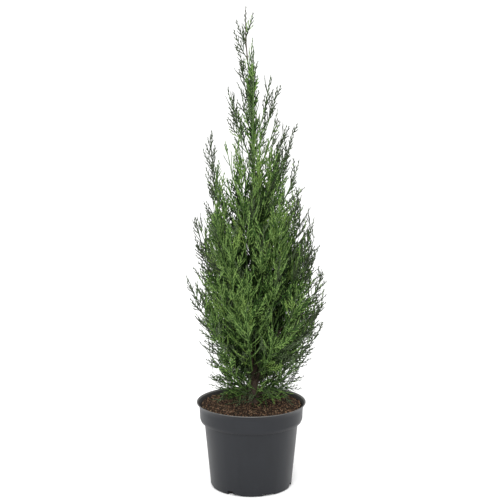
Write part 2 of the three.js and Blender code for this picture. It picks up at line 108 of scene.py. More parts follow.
def turned(name, corners, steps):
    """A closed body turned about the Z axis from corners of radius, height and rounding, ends on the axis"""
    bm = bmesh.new()
    verts = [bm.verts.new((radius, 0, height)) for radius, height, _ in corners]
    bm.faces.new(verts)
    axis_edge = bm.edges.get((verts[0], verts[-1]))
    for vert, (_, _, rounding) in zip(verts, corners):
        if rounding:
            bmesh.ops.bevel(bm, geom=[vert], offset=rounding, offset_type="OFFSET", segments=4, profile=0.5,
                            affect="VERTICES", material=-1)
    bmesh.ops.delete(bm, geom=bm.faces[:], context="FACES_ONLY")
    bmesh.ops.delete(bm, geom=[axis_edge], context="EDGES")
    bmesh.ops.spin(bm, geom=bm.verts[:] + bm.edges[:], axis=(0, 0, 1), cent=(0, 0, 0), angle=math.tau,
                   steps=steps, use_merge=True)
    bmesh.ops.remove_doubles(bm, verts=bm.verts[:], dist=0.01 * MM)
    bmesh.ops.recalc_face_normals(bm, faces=bm.faces[:])
    return object_of(name, bm)


def smooth(piece, sharpest):
    """Smooth shading over every edge that turns less than an angle"""
    piece.data.polygons.foreach_set("use_smooth", [True] * len(piece.data.polygons))
    piece.data.set_sharp_from_angle(angle=sharpest)


outside = [(radius * MM, height * MM, rounding * MM) for radius, height, rounding in POT_OUTSIDE]
pot_foot = outside[0][0]

# Inside, the wall follows at its thickness, with a plain corner at the shoulder
inside = [(radius - POT_WALL, height, rounding) for radius, height, rounding in outside[1:]]
inside[0] = (*inside[0][:2], 0)
pot_corners = [(0, 0, 0)] + outside
pot_corners += [
    (RIM_RADIUS, POT_HEIGHT - LIP_EDGE, 0.5 * MM),
    (RIM_RADIUS - 0.3 * LIP_EDGE, POT_HEIGHT, 0.3 * MM),
    (RIM_RADIUS - LIP_EDGE, POT_HEIGHT, 0.4 * MM),
]
pot_corners += inside[::-1]
pot_corners += [(pot_foot - POT_WALL, FLOOR_TOP, 2 * MM), (0, FLOOR_TOP, 0)]
pot = turned("nursery_pot", pot_corners, POT_STEPS)

# The slots and their holes are cut out together. Every other slot also opens through the wall at one end
slots = bmesh.new()


def swept_block(start, width, inner, height):
    """Adds a block to the cutter that sweeps an angle round the axis, from an inner radius past the wall"""
    corners = [(inner, -CUTTER_UNDER), (RIM_RADIUS, -CUTTER_UNDER), (RIM_RADIUS, height), (inner, height)]
    turn = Matrix.Rotation(start, 3, "Z")
    face = slots.faces.new([slots.verts.new(turn @ Vector((radius, 0, level))) for radius, level in corners])
    bmesh.ops.spin(slots, geom=[face], axis=(0, 0, 1), cent=(0, 0, 0), angle=width, steps=6)


for i in range(SLOT_COUNT):
    middle = SLOT_FIRST + i * math.tau / SLOT_COUNT
    swept_block(middle - SLOT_WIDTH / 2, SLOT_WIDTH, SLOT_INNER, SLOT_HEIGHT)
    if i % 2 == 0:
        swept_block(middle - WALL_HOLE_START * SLOT_WIDTH, WALL_HOLE_WIDTH, WALL_HOLE_INNER, WALL_HOLE_HEIGHT)
    drain = Matrix.Rotation(middle, 4, "Z") @ Matrix.Translation(((SLOT_INNER + pot_foot) / 2, 0, 0))
    bmesh.ops.create_cone(slots, cap_ends=True, segments=24, radius1=DRAIN_RADIUS, radius2=DRAIN_RADIUS,
                          depth=8 * FLOOR_TOP, matrix=drain)
bmesh.ops.recalc_face_normals(slots, faces=slots.faces[:])
cutter = object_of("slot_cutter", slots)
cut = pot.modifiers.new("slots", "BOOLEAN")
cut.object = cutter
cut.solver = "EXACT"
cut.use_self = True
shape = bpy.data.meshes.new_from_object(pot.evaluated_get(bpy.context.evaluated_depsgraph_get()))
pot.modifiers.clear()
pot.data = shape
bpy.data.objects.remove(cutter)
smooth(pot, math.radians(32))


def linear(colour):
    """An sRGB hex colour as linear red, green, blue and alpha"""
    parts = [int(colour[i:i + 2], 16) / 255 for i in (1, 3, 5)]
    return [part / 12.92 if part <= 0.04045 else ((part + 0.055) / 1.055) ** 2.4 for part in parts] + [1]


def new_material(name, colour, roughness, ior):
    """A material whose shader has one colour and gloss all over, for nodes to be added to"""
    material = bpy.data.materials.new(name)
    material.use_nodes = True
    shader = material.node_tree.nodes["Principled BSDF"]
    shader.inputs["Base Color"].default_value = linear(colour)
    shader.inputs["Roughness"].default_value = roughness
    shader.inputs["IOR"].default_value = ior
    return material, shader


def add(material, kind, inputs, **settings):
    """Adds a node with its settings. An input takes a value, or the output socket that it is linked to"""
    node = material.node_tree.nodes.new(kind)
    for setting, value in settings.items():
        setattr(node, setting, value)
    for socket, value in inputs.items():
        if isinstance(value, bpy.types.NodeSocket):
            material.node_tree.links.new(value, node.inputs[socket])
        else:
            node.inputs[socket].default_value = value
    return node


def join(material, output, socket):
    """Links an output to a socket of the material's shader"""
    material.node_tree.links.new(output, material.node_tree.nodes["Principled BSDF"].inputs[socket])


# Moulded polypropylene: a fine eroded grain that blurs its reflections, faint upright flow streaks, and dust
GRAIN_MM = 0.8
STREAK_MM = 9
CLOUD_MM = 40
plastic, plastic_shader = new_material("moulded_polypropylene", "#26282c", 0.42, 1.49)
plastic_shader.inputs["Specular IOR Level"].default_value = 0.28
place = add(plastic, "ShaderNodeTexCoord", {}).outputs["Object"]
grain = add(plastic, "ShaderNodeTexNoise", {"Vector": place, "Scale": 1 / (GRAIN_MM * MM), "Detail": 2})
upright = add(plastic, "ShaderNodeMapping", {"Vector": place, "Scale": (1, 1, 0.08)})
streaks = add(plastic, "ShaderNodeTexNoise",
              {"Vector": upright.outputs["Vector"], "Scale": 1 / (STREAK_MM * MM), "Detail": 4})
clouds = add(plastic, "ShaderNodeTexNoise", {"Vector": place, "Scale": 1 / (CLOUD_MM * MM), "Detail": 5})
blotches = add(plastic, "ShaderNodeMix", {0: 0.5, 2: streaks.outputs["Fac"], 3: clouds.outputs["Fac"]})
tint = add(plastic, "ShaderNodeMix",
           {0: blotches.outputs[0], 6: linear("#121417"), 7: linear("#1e2025")}, data_type="RGBA")
gloss = add(plastic, "ShaderNodeMapRange", {"Value": clouds.outputs["Fac"], "To Min": 0.36, "To Max": 0.5})
relief = add(plastic, "ShaderNodeBump",
             {"Height": grain.outputs["Fac"], "Strength": 0.25, "Distance": 0.06 * MM})
join(plastic, tint.outputs[2], "Base Color")
join(plastic, gloss.outputs["Result"], "Roughness")
join(plastic, relief.outputs["Normal"], "Normal")


def mottle_colour(material, size_mm, detail, dark, pale):
    """Colours a material from dark to pale in spots of a size"""
    place = add(material, "ShaderNodeTexCoord", {}).outputs["Object"]
    spots = add(material, "ShaderNodeTexNoise",
                {"Vector": place, "Scale": 1 / (size_mm * MM), "Detail": detail})
    tone = add(material, "ShaderNodeMix",
               {0: spots.outputs["Fac"], 6: linear(dark), 7: linear(pale)}, data_type="RGBA")
    join(material, tone.outputs[2], "Base Color")


# The lip's edge is the same plastic painted paler: partly scuffs where pots are lifted and stacked, partly a
# painted highlight along its rounded edge
PLASTIC_SPOT_MM = 5
scuff_and_painted_highlight, _ = new_material("scuffed_painted_highlight_polypropylene", "#4a4a49", 0.5, 1.49)
mottle_colour(scuff_and_painted_highlight, PLASTIC_SPOT_MM, 6, "#343536", "#62605c")

# Inside, the wall is painted darker: painted shade for the shadowed inside of the pot, and partly a stain of
# wet peat
stain_and_painted_shade, _ = new_material("peat_stain_painted_shade_polypropylene", "#0f0e0d", 0.7, 1.49)
mottle_colour(stain_and_painted_shade, PLASTIC_SPOT_MM, 5, "#0a0908", "#1c1915")

for material in (plastic, scuff_and_painted_highlight, stain_and_painted_shade):
    pot.data.materials.append(material)
# The lip takes the paler plastic, a painted highlight with scuffs; the wall inside takes the darker one,
# painted shade with a peat stain
for face in pot.data.polygons:
    inward = face.normal.xy.dot(face.center.xy) < 0 and face.center.z > FLOOR_TOP
    at_lip = face.center.z > POT_HEIGHT - (LIP_INSIDE_BAND if inward else LIP_EDGE)
    face.material_index = 1 if at_lip else 2 if inward else 0
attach(pot, "root")
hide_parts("pot")

# Soil. Moist peat compost that fills the pot to just under its lip: dark crumbs of all sizes, pale fibres
# and bits of bark, settled a little lower round the wall and heaped round the trunk.
SOIL_EDGE = 143 * MM
SOIL_CROWN = 144.6 * MM
SOIL_STEPS = 150
SOIL_RINGS = 46
SOIL_RADIUS = 88.3 * MM
SOIL_SHOULDER = (79 * MM, 108 * MM)
SOIL_FOOT = 68.2 * MM
SOIL_CLEAR = 0.3 * MM
HEAP_SIDE = 5 * MM
HEAP_WIDTH = 14 * MM
HEAP_RISE = 4.6 * MM
HOLLOW_WIDTH = 22 * MM
HOLLOW_DEPTH = 1.6 * MM
LUMP_WIDTH = 6 * MM
CRUMB_WIDTH = 2.6 * MM
CRUMB_RELIEF = 1.32 * MM
CRUMB_COUNT = 6400
CRUMB_MM = 0.66
CRUMB_SPREAD = 0.5
CRUMB_LIMITS_MM = (0.3, 1.9)
CRUMB_KNOCKS = (0.65, 1.25)
CRUMB_STRETCH = (0.7, 1.15)
CRUMB_LIFT = 0.45
CRUMB_EDGE = SOIL_RADIUS - 2 * MM
CRUMB_SHARES = (0.44, 0.28, 0.08, 0.2)
FIBRE_COUNT = 420
FIBRE_EDGE = SOIL_RADIUS - 8 * MM
FIBRE_LIFT = 1.2 * MM
FIBRE_LENGTHS_MM = (2.5, 9)
FIBRE_RADII_MM = (0.12, 0.3)
rng = np.random.default_rng(41)


def soil_height(x, y):
    """The soil's surface: a low heap with hollows as wide as a fingertip and crumbs as wide as a lentil"""
    out = min(1, math.hypot(x, y) / SOIL_RADIUS)
    heap = SOIL_EDGE + (SOIL_CROWN - SOIL_EDGE) * (1 - out ** 2)
    heap += HEAP_RISE * math.exp(-(math.hypot(x - HEAP_SIDE, y) / HEAP_WIDTH) ** 2)
    hollows = HOLLOW_DEPTH * noise.noise(Vector((x, y, 0)) / HOLLOW_WIDTH)
    lumps = noise.noise(Vector((x, y, 0.3)) / LUMP_WIDTH)
    lumps += 0.6 * noise.noise(Vector((x, y, 0.7)) / CRUMB_WIDTH)
    return heap + hollows * (1 - out ** 4) + CRUMB_RELIEF * lumps


soil_corners = [(0, SOIL_CROWN, 0)]
soil_corners += [(SOIL_RADIUS * (i + 1) / SOIL_RINGS, SOIL_EDGE, 0) for i in range(SOIL_RINGS)]
soil_corners += [(*SOIL_SHOULDER, 0), (SOIL_FOOT, FLOOR_TOP + SOIL_CLEAR, 0), (0, FLOOR_TOP + SOIL_CLEAR, 0)]
peat = turned("peat", soil_corners, SOIL_STEPS)
for vert in peat.data.vertices:
    if vert.co.z > SOIL_EDGE - MM:
        vert.co.z = soil_height(vert.co.x, vert.co.y)
smooth(peat, math.pi)


def joined(name, points, triangles, materials, kinds):
    """One mesh from arrays of corner points and triangles. Each triangle's kind picks its material"""
    mesh = bpy.data.meshes.new(name)
    mesh.vertices.add(len(points))
    mesh.vertices.foreach_set("co", np.asarray(points, np.float32).ravel())
    mesh.loops.add(3 * len(triangles))
    mesh.loops.foreach_set("vertex_index", np.asarray(triangles, np.int32).ravel())
    mesh.polygons.add(len(triangles))
    mesh.polygons.foreach_set("loop_start", np.arange(0, 3 * len(triangles), 3, dtype=np.int32))
    mesh.polygons.foreach_set("material_index", np.asarray(kinds, np.int32))
    mesh.polygons.foreach_set("use_smooth", np.ones(len(triangles), bool))
    for material in materials:
        mesh.materials.append(material)
    mesh.update()
    piece = bpy.data.objects.new(name, mesh)
    scene.collection.objects.link(piece)
    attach(piece, "root")
    return piece


def lump():
    """Corner points and triangles of a ball as large as 1, for crumbs to be knocked out of shape"""
    bm = bmesh.new()
    bmesh.ops.create_icosphere(bm, subdivisions=1, radius=1)
    points = np.array([vert.co for vert in bm.verts])
    triangles = np.array([[vert.index for vert in face.verts] for face in bm.faces])
    bm.free()
    return points, triangles


def random_turns(count):
    """As many random rotation matrices"""
    q = rng.normal(size=(count, 4))
    q /= np.linalg.norm(q, axis=1, keepdims=True)
    w, x, y, z = q.T
    return np.stack([
        np.stack([1 - 2 * (y * y + z * z), 2 * (x * y - z * w), 2 * (x * z + y * w)], -1),
        np.stack([2 * (x * y + z * w), 1 - 2 * (x * x + z * z), 2 * (y * z - x * w)], -1),
        np.stack([2 * (x * z - y * w), 2 * (y * z + x * w), 1 - 2 * (x * x + y * y)], -1),
    ], 1)


def scattered(count, edge):
    """Points on the soil, evenly spread out to an edge"""
    radius = edge * np.sqrt(rng.uniform(0, 1, count))
    angle = rng.uniform(0, math.tau, count)
    x, y = radius * np.cos(angle), radius * np.sin(angle)
    z = np.array([soil_height(*pair) for pair in zip(x, y)])
    return np.stack([x, y, z], -1)


ball, ball_faces = lump()
sizes = MM * np.clip(rng.lognormal(math.log(CRUMB_MM), CRUMB_SPREAD, CRUMB_COUNT), *CRUMB_LIMITS_MM)
knocked = ball * rng.uniform(*CRUMB_KNOCKS, (CRUMB_COUNT, len(ball), 1))
knocked = knocked * rng.uniform(*CRUMB_STRETCH, (CRUMB_COUNT, 1, 3))
crumbs = np.einsum("nij,nkj->nki", random_turns(CRUMB_COUNT), knocked) * sizes[:, None, None]
crumbs += (scattered(CRUMB_COUNT, CRUMB_EDGE) + sizes[:, None] * [0, 0, CRUMB_LIFT])[:, None]
crumb_faces = ball_faces + len(ball) * np.arange(CRUMB_COUNT)[:, None, None]
crumb_kinds = np.repeat(rng.choice(4, CRUMB_COUNT, p=CRUMB_SHARES), len(ball_faces))

# Peat: matt and porous, nearly black when wet and rust brown where the crumbs have dried
PEAT_MM = 3
peats = []
for name, dark, pale in [
    ("moist_peat", "#2a1e14", "#473526"),
    ("drying_peat", "#503a2b", "#7d634f"),
    ("bark_bits", "#66543f", "#8f7a60"),
    ("darkest_peat_painted_shade", "#110d09", "#211810"),
]:
    material, shader = new_material(name, dark, 0.92, 1.4)
    shader.inputs["Specular IOR Level"].default_value = 0.25
    place = add(material, "ShaderNodeTexCoord", {}).outputs["Object"]
    mottle = add(material, "ShaderNodeTexNoise", {"Vector": place, "Scale": 1 / (PEAT_MM * MM), "Detail": 6})
    spread = add(material, "ShaderNodeMapRange",
                 {"Value": mottle.outputs["Fac"], "From Min": 0.35, "From Max": 0.65})
    shade = add(material, "ShaderNodeMix",
                {0: spread.outputs["Result"], 6: linear(dark), 7: linear(pale)}, data_type="RGBA")
    pores = add(material, "ShaderNodeBump",
                {"Height": mottle.outputs["Fac"], "Strength": 0.6, "Distance": 0.4 * MM})
    join(material, shade.outputs[2], "Base Color")
    join(material, pores.outputs["Normal"], "Normal")
    peats.append(material)

_, drying, bits, darkest_peat_and_shade = peats
# The ground under the crumbs takes the darkest peat, also the tone of the darkest crumbs: painted shade in the
# gaps between the crumbs
peat.data.materials.append(darkest_peat_and_shade)
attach(peat, "root")
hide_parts("soil")
crumb_piece = joined("peat_crumbs", crumbs.reshape(-1, 3), crumb_faces.reshape(-1, 3), peats, crumb_kinds)


class Shoots(NamedTuple):
    """Curved lines, each bent from a root over a middle to an end, which branch in the direction across.
    A shoot knows the number of the spray that it belongs to"""
    root: np.ndarray
    middle: np.ndarray
    end: np.ndarray
    across: np.ndarray
    length: np.ndarray
    spray: np.ndarray


def unit(vectors):
    """Vectors scaled to a length of 1"""
    return vectors / np.maximum(np.linalg.norm(vectors, axis=-1, keepdims=True), 1e-12)


def along(shoots, share):
    """Points and headings at a share of each shoot's line"""
    first, second = shoots.middle - shoots.root, shoots.end - shoots.middle
    share = np.asarray(share)[..., None]
    point = shoots.root + 2 * share * first + share ** 2 * (second - first)
    return point, unit(first + share * (second - first))


def square_to(heading, across):
    """Directions across, turned square to their headings"""
    return unit(across - heading * np.sum(across * heading, -1, keepdims=True))


def strands(shoots, rings, sides, widths, depths):
    """Points and triangles of tapering strands along shoots, and how many triangles each has. A ring is a
    share of the length, with the half width across and the half depth there. A strand ends in a point"""
    count = len(shoots.length)
    steps = (np.arange(sides) / sides + 0.25) * math.tau
    rows = []
    for share, wide, deep in zip(rings, widths, depths):
        centre, heading = along(shoots, np.full(count, share))
        across = square_to(heading, shoots.across)
        up = np.cross(heading, across)
        wide, deep = np.broadcast_to(wide, count), np.broadcast_to(deep, count)
        for step in steps:
            sideways = across * (wide * math.cos(step))[:, None]
            rows.append(centre + sideways + up * (deep * math.sin(step))[:, None])
    rows.append(shoots.end)
    points = np.stack(rows, 1)
    faces = []
    last = (len(rings) - 1) * sides
    for side in range(sides):
        after = (side + 1) % sides
        for ring in range(0, last, sides):
            a, b = ring + side, ring + after
            faces += [(a, b, b + sides), (a, b + sides, a + sides)]
        faces.append((last + side, last + after, last + sides))
    faces += [(0, side + 1, side) for side in range(1, sides - 1)]
    triangles = np.array(faces) + points.shape[1] * np.arange(count)[:, None, None]
    return points.reshape(-1, 3), triangles.reshape(-1, 3), len(faces)


# Fibres lie over the crumbs in short bent strands
lie = scattered(FIBRE_COUNT, FIBRE_EDGE) + [0, 0, FIBRE_LIFT]
way = rng.uniform(0, math.tau, FIBRE_COUNT)
reach = rng.uniform(*FIBRE_LENGTHS_MM, FIBRE_COUNT) * MM
ahead = np.stack([np.cos(way), np.sin(way), rng.normal(0, 0.12, FIBRE_COUNT)], -1) * reach[:, None] / 2
bow = np.stack([-np.sin(way), np.cos(way), rng.uniform(0, 0.6, FIBRE_COUNT)], -1) * reach[:, None] * 0.2
fibres = Shoots(lie - ahead, lie + bow, lie + ahead, bow, reach, np.zeros(FIBRE_COUNT, int))
thick = rng.uniform(*FIBRE_RADII_MM, FIBRE_COUNT) * MM
wide, deep = [thick, 1.2 * thick, thick], [thick, thick, 0.7 * thick]
points, faces, each = strands(fibres, [0, 0.35, 0.7], 4, wide, deep)
fibre_kinds = np.repeat(rng.choice(2, FIBRE_COUNT), each)
fibre_piece = joined("peat_fibres", points, faces, [drying, bits], fibre_kinds)

# Trunk and boughs. One woody stem with a root flare runs up through the crown, and its lower boughs show bare
# feet before their foliage. The bark is thin, reddish brown, and peels in fine upright fibres.
TRUNK_FOOT = 143.8 * MM
TIP_HEIGHT = 829 * MM
WOOD_TOP = 702 * MM
WOOD_OVERLAP = 4 * MM
TRUNK_RINGS = 200
TRUNK_SIDES = 36
TRUNK_SIDE_MM = 5
TRUNK_BOW_MM = 6
TRUNK_LEAN_MM = 20
FOOT_RADIUS_MM = 6.2
TOP_RADIUS_MM = 1.3
FLARE_RADIUS_MM = 3.4
FLARE_HEIGHT = 14 * MM
FLARE_LOBES = 5
LOBE_RELIEF = 0.16
BARK_RELIEF = 0.09
RIDGE_WIDTH = 1.1 * MM
STRIP_WIDTH = 3.2 * MM


def trunk_at(height):
    """The trunk's axis at heights: a slight bow, and a lean to the left towards the tip"""
    rise = (np.asarray(height) - TRUNK_FOOT) / (TIP_HEIGHT - TRUNK_FOOT)
    x = (TRUNK_SIDE_MM + TRUNK_BOW_MM * rise - TRUNK_LEAN_MM * rise ** 3) * MM
    return np.stack([x, TRUNK_BOW_MM * MM * rise * (1 - rise), np.asarray(height, float)], -1)


def flare_share(height):
    """How much of the root flare is left at heights"""
    return np.exp((TRUNK_FOOT - height) / FLARE_HEIGHT)


def trunk_radius(height):
    """The trunk's radius at heights, tapering from the flare to the leader"""
    rise = np.clip((height - TRUNK_FOOT) / (WOOD_TOP - TRUNK_FOOT), 0, 1)
    taper = (TOP_RADIUS_MM - FOOT_RADIUS_MM) * rise ** 0.8
    return (FOOT_RADIUS_MM + taper + FLARE_RADIUS_MM * flare_share(height)) * MM


def grown_limb(bm, centres, headings, radii, sides, lobes):
    """Grows a limb ring by ring: the end face is extruded, and its corners are set round the next centre with
    the ridges of the bark, which run on from ring to ring"""
    centres, headings = [Vector(c) for c in centres], [Vector(h) for h in headings]
    made = bmesh.ops.create_circle(bm, cap_ends=True, segments=sides, radius=1)["verts"]
    end = made[0].link_faces[0]
    for centre, heading, radius, lobe in zip(centres, headings, radii, lobes):
        if centre is not centres[0]:
            end = bmesh.ops.extrude_discrete_faces(bm, faces=[end])["faces"][0]
        right = heading.orthogonal() if abs(heading.z) < 0.5 else Vector((0, 1, 0)).cross(heading)
        right.normalize()
        rear = heading.cross(right)
        for i, vert in enumerate(end.verts):
            angle = i * math.tau / sides
            round_place = Vector((math.cos(angle), math.sin(angle), 0)) * radius
            ridge = noise.noise(Vector((round_place.x, round_place.y, centre.z * 0.06)) / RIDGE_WIDTH)
            strip = noise.noise(Vector((round_place.x, round_place.y, centre.z * 0.2)) / STRIP_WIDTH)
            swell = 1 + lobe * math.cos(FLARE_LOBES * angle) + BARK_RELIEF * (ridge + 0.7 * strip)
            vert.co = centre + (right * math.cos(angle) + rear * math.sin(angle)) * radius * swell


wood = bmesh.new()
heights = TRUNK_FOOT + (WOOD_TOP + WOOD_OVERLAP - TRUNK_FOOT) * np.linspace(0, 1, TRUNK_RINGS) ** 1.25
upwards = np.tile([0.0, 0.0, 1.0], (TRUNK_RINGS, 1))
lobes = LOBE_RELIEF * flare_share(heights)
grown_limb(wood, trunk_at(heights), upwards, trunk_radius(heights), TRUNK_SIDES, lobes)

# A tier gives the bare share of its boughs, then its longest spray and the spacing of sprays in millimetres.
# Each row is one plume: its bearing in degrees, where 0 is right and 270 the front, and in millimetres the
# height of its root on the trunk, how far its tip reaches out from the trunk, and the height of its tip.
TIERS = {
    "upper": (0, 34, 9, [
        (2, 580, 41, 698), (182, 565, 38, 681), (272, 606, 25, 745), (92, 596, 30, 736),
        (330, 540, 46, 662),
    ]),
    "middle": (0, 50, 7.8, [
        (356, 462, 66, 630), (174, 446, 48, 594), (238, 372, 52, 612), (278, 346, 48, 590),
        (60, 360, 62, 606), (118, 424, 54, 640),
    ]),
    "main": (0.2, 74, 4.9, [
        (184, 243, 76, 616), (2, 228, 76, 528), (172, 200, 100, 464), (350, 206, 104, 448),
        (218, 232, 86, 516), (252, 266, 72, 560), (302, 246, 80, 520), (90, 256, 78, 556),
        (30, 220, 94, 486), (146, 226, 88, 500),
    ]),
    "low": (0.16, 74, 4.5, [
        (10, 182, 120, 374), (188, 188, 112, 366), (354, 168, 120, 294), (216, 173, 106, 338),
        (262, 192, 98, 404), (310, 182, 110, 358), (144, 178, 114, 372), (100, 196, 106, 412),
        (54, 174, 116, 366),
    ]),
    "skirt": (0, 46, 5.6, [
        (178, 162, 88, 252), (4, 158, 82, 194), (196, 156, 70, 196), (276, 157, 66, 200),
        (325, 160, 88, 232), (238, 160, 84, 236), (92, 160, 86, 230),
    ]),
}
ELBOW_OUT = 0.7
ELBOW_UP = 0.4
BOUGH_TIP = 1.6 * MM
BOUGH_TAPER = 0.004
STEM_FOOT = 1.5 * MM

# Shorter plumes fill the inside of the crown between the boughs: these rows where it would be thin, and a
# loop that turns up round the trunk, closest round its foot
GOLDEN_DEGREES = 137.5
INNER_COUNT = 44
INNER_REACH = (36, 46, 58, 76)
INNER_LOWEST = 178
INNER_RISE = 262
INNER_FIRST = 200
INNER_CLIMB = 60
INNER_STEEP = 1.1
inner_rows = [
    (332, 230, 88, 430), (344, 290, 80, 452), (318, 196, 100, 372), (20, 300, 76, 430),
    (352, 180, 114, 318), (286, 400, 34, 632), (304, 176, 60, 168), (232, 172, 54, 169),
    (322, 184, 74, 172), (212, 180, 70, 172), (320, 360, 34, 600), (345, 420, 60, 596),
    (4, 300, 98, 446), (355, 300, 112, 430), (348, 200, 120, 338), (186, 262, 86, 446),
    (340, 190, 96, 300), (263, 186, 117, 350), (250, 200, 112, 392), (290, 188, 116, 318),
    (200, 300, 70, 470), (335, 340, 64, 506), (190, 166, 72, 226), (240, 240, 84, 468),
    (281, 250, 80, 476), (296, 214, 98, 424), (266, 300, 60, 536), (231, 200, 98, 392),
    (88, 300, 62, 530), (70, 240, 88, 462), (112, 230, 90, 448), (70, 160, 70, 200),
    (112, 160, 72, 202), (45, 162, 84, 214), (135, 162, 84, 214), (90, 170, 60, 260),
    (75, 190, 50, 280), (84, 158, 48, 180), (55, 158, 52, 182), (350, 165, 94, 238),
    (186, 290, 99, 476), (8, 260, 104, 474), (0, 440, 46, 604), (340, 430, 40, 592),
    (196, 430, 34, 596), (262, 160, 38, 161), (288, 158, 44, 158), (2, 230, 121, 378),
    (356, 206, 120, 332), (184, 210, 98, 356), (182, 160, 74, 204), (358, 240, 102, 402),
]
for i in range(INNER_COUNT):
    height = INNER_LOWEST + INNER_RISE * (i / INNER_COUNT) ** 1.6
    reach = INNER_REACH[i % len(INNER_REACH)]
    top = height + INNER_CLIMB + INNER_STEEP * reach
    inner_rows.append((INNER_FIRST + GOLDEN_DEGREES * i, height, reach, top))
TIERS["inner"] = (0, 50, 6.6, inner_rows)
TIERS["crest"] = (0, 30, 11, [
    (350, 596, 30, 716), (186, 690, 17, 724), (185, 600, 43, 692), (8, 520, 56, 632),
    (196, 650, 19, 740), (188, 610, 18, 680),
])

plume_rows = [(tier, row) for tier, (_, _, _, rows) in TIERS.items() for row in rows]
plume_tiers = [tier for tier, _ in plume_rows] + ["leader", "column"]
bearing, root, span, tip = np.array([row for _, row in plume_rows], float).T
out = np.stack([np.cos(np.radians(bearing)), np.sin(np.radians(bearing)), np.zeros(len(bearing))], -1)
foot = trunk_at(root * MM)
rise = np.stack([0 * tip, 0 * tip, tip - root], -1) * MM
elbow = foot + ELBOW_OUT * span[:, None] * MM * out + ELBOW_UP * rise
ends = foot + span[:, None] * MM * out + rise

# The leader is a plume of its own on the trunk's tip, and short sprays clothe the upper trunk like a column
COLUMN_FOOT = 470 * MM
COLUMN_TOP = 734 * MM
LEADER_BOW = -8 * MM
LEADER_OUT = (0.6, -0.8, 0)
for low, high, bow in [(WOOD_TOP, TIP_HEIGHT, LEADER_BOW), (COLUMN_FOOT, COLUMN_TOP, 0)]:
    low_end, half_way, high_end = trunk_at(np.array([low, (low + high) / 2, high]))
    foot = np.vstack([foot, low_end])
    elbow = np.vstack([elbow, 2 * half_way - (low_end + high_end) / 2 + [bow, 0, 0]])
    ends = np.vstack([ends, high_end])
    out = np.vstack([out, LEADER_OUT])
spans = np.linalg.norm(elbow - foot, axis=1) + np.linalg.norm(ends - elbow, axis=1)
plumes = Shoots(foot, elbow, ends, np.cross([0, 0, 1], out), spans, np.arange(len(spans)))
bough_share = np.array([TIERS[tier][0] if tier in TIERS else 0 for tier in plume_tiers])

BOUGH_RINGS = 26
BOUGH_SIDES = 14
BOUGH_START = 0.004
BOUGH_OVERLAP = 0.02
FOOT_SWELL = 0.5
for number in np.flatnonzero(bough_share):
    shares = np.linspace(BOUGH_START, bough_share[number] + BOUGH_OVERLAP, BOUGH_RINGS)
    one = Shoots(*(field[[number] * BOUGH_RINGS] for field in plumes))
    centres, headings = along(one, shares)
    radii = BOUGH_TIP + BOUGH_TAPER * spans[number] * np.linspace(1, 0, BOUGH_RINGS)
    radii *= 1 + FOOT_SWELL * np.exp(-np.linspace(0, 9, BOUGH_RINGS))
    grown_limb(wood, centres, headings, radii, BOUGH_SIDES, np.zeros(BOUGH_RINGS))
bmesh.ops.recalc_face_normals(wood, faces=wood.faces[:])
limbs = object_of("trunk_and_boughs", wood)
smooth(limbs, math.radians(60))

# Young cypress bark: satin, split into upright fibres, rust brown in the splits, greyer on the peeling strips
FIBRE_MM = 1.4
PATCH_MM = 14
# Its browns are dark: the bark's own colour, darkened further as painted shade of the crown over the trunk
bark, _ = new_material("young_cypress_bark", "#5b4032", 0.78, 1.45)
place = add(bark, "ShaderNodeTexCoord", {}).outputs["Object"]
grained = add(bark, "ShaderNodeMapping", {"Vector": place, "Scale": (1, 1, 0.1)})
fibre = add(bark, "ShaderNodeTexNoise",
            {"Vector": grained.outputs["Vector"], "Scale": 1 / (FIBRE_MM * MM), "Detail": 5})
patch = add(bark, "ShaderNodeTexNoise", {"Vector": place, "Scale": 1 / (PATCH_MM * MM), "Detail": 3})
rust = add(bark, "ShaderNodeMix",
           {0: fibre.outputs["Fac"], 6: linear("#1f1710"), 7: linear("#413021")}, data_type="RGBA")
weathered = add(bark, "ShaderNodeMix",
                {0: patch.outputs["Fac"], 6: rust.outputs[2], 7: linear("#392f26")}, data_type="RGBA")
splits = add(bark, "ShaderNodeBump", {"Height": fibre.outputs["Fac"], "Strength": 0.7, "Distance": 0.5 * MM})
join(bark, weathered.outputs[2], "Base Color")
join(bark, splits.outputs["Normal"], "Normal")

# The youngest wood at the top keeps its green skin
GREEN_WOOD_FROM = 560 * MM
FLECK_MM = 3
green_skin, _ = new_material("green_stem_skin", "#384820", 0.55, 1.45)
mottle_colour(green_skin, FLECK_MM, 4, "#2c4419", "#587636")
limbs.data.materials.append(bark)
limbs.data.materials.append(green_skin)
for face in limbs.data.polygons:
    face.material_index = int(face.center.z > GREEN_WOOD_FROM)
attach(limbs, "root")
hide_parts("trunk", *[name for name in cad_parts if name.endswith("_bough")])

# Plume stems. Each bough runs on through its plume as a slim stem with a thin skin: brown at first, green
# near its tip where scale leaves still cover it, and brown again in the leader, bare between its sprays.
STEM_RINGS = np.linspace(0, 0.96, 26)
STEM_SIDES = 8
STEM_TIP = 0.3 * MM
GREEN_FROM = 0.2
GREEN_STEMS_FROM = 470 * MM
GREEN_STEMS_TO = 738 * MM
stem_foot = np.where(bough_share > 0, BOUGH_TIP, STEM_FOOT)
stem_radii = [stem_foot * (1 - share) + STEM_TIP * share for share in STEM_RINGS]
start, _ = along(plumes, bough_share)
stems = Shoots(start, elbow + (ends - elbow) * bough_share[:, None], ends, plumes.across,
               spans * (1 - bough_share), np.arange(len(spans)))
points, faces, each = strands(stems, STEM_RINGS, STEM_SIDES, stem_radii, stem_radii)

# Stem skin: thin smooth bark, dull brown with paler flecks
skin, _ = new_material("stem_skin", "#6a4330", 0.6, 1.45)
mottle_colour(skin, FLECK_MM, 4, "#2b221a", "#463b30")

